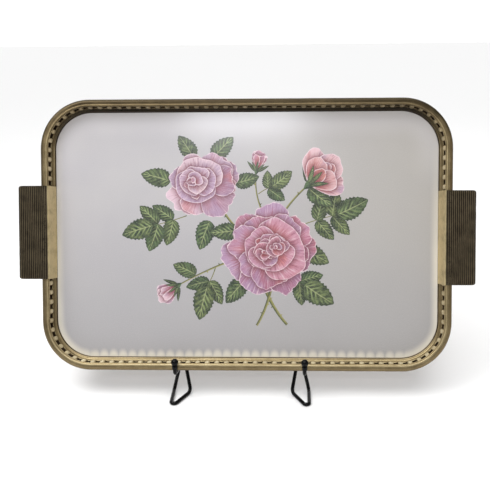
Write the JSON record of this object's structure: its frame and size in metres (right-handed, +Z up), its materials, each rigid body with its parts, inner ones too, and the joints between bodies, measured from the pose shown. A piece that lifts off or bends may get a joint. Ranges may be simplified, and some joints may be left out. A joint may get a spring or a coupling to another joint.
{
  "type": "serving tray on folding easel",
  "caption": "Shallow rounded-rectangle serving tray with a raised pierced metal rim and ribbed side handles, standing upright on a folding wire easel.",
  "frame": {"origin": "on the table under the centre of the object's box", "axes": "+X to the viewer's right along the tray's long side, +Y from the tray's face to the easel's rear leg, +Z up"},
  "size_m": [0.5, 0.1816, 0.319],
  "materials": {
    "print": "glossy printed laminate",
    "hardboard": "raw hardboard",
    "gilt_rim": "brushed antique gilt",
    "gilt_gallery": "stamped pale gilt",
    "bronze_handle": "ribbed dark bronze with gilt rib tops",
    "black_enamel": "glossy black enamel",
    "pin_steel": "bare steel"
  },
  "bodies": {
    "easel": {"left_front_rod": "black_enamel", "right_front_rod": "black_enamel", "left_ball_tip": "black_enamel", "right_ball_tip": "black_enamel", "cross_brace": "black_enamel", "hinge_barrel": "black_enamel", "hinge_pin": "pin_steel", "left_pin_cap": "black_enamel", "right_pin_cap": "black_enamel"},
    "tray": {"face_laminate": "print", "core_board": "hardboard", "upper_rim": "gilt_rim", "lower_rim": "gilt_rim", "upper_gallery": "gilt_gallery", "lower_gallery": "gilt_gallery", "left_handle": "bronze_handle", "right_handle": "bronze_handle", "left_handle_rivets": "gilt_rim", "right_handle_rivets": "gilt_rim"},
    "rear_leg": {"rear_leg": "black_enamel", "left_lug": "black_enamel", "right_lug": "black_enamel"}
  },
  "joints": [
    {"name": "tray_lift", "type": "slide", "parent": "easel", "child": "tray", "axis": [0, 0.309, 0.9511], "range_m": [0, 0.32]},
    {"name": "rear_leg_fold", "type": "hinge", "parent": "easel", "child": "rear_leg", "pos_m": [-0.006, 0.01741, 0.23561], "axis": [-1, 0, 0], "range_deg": [0, 34]}
  ]
}
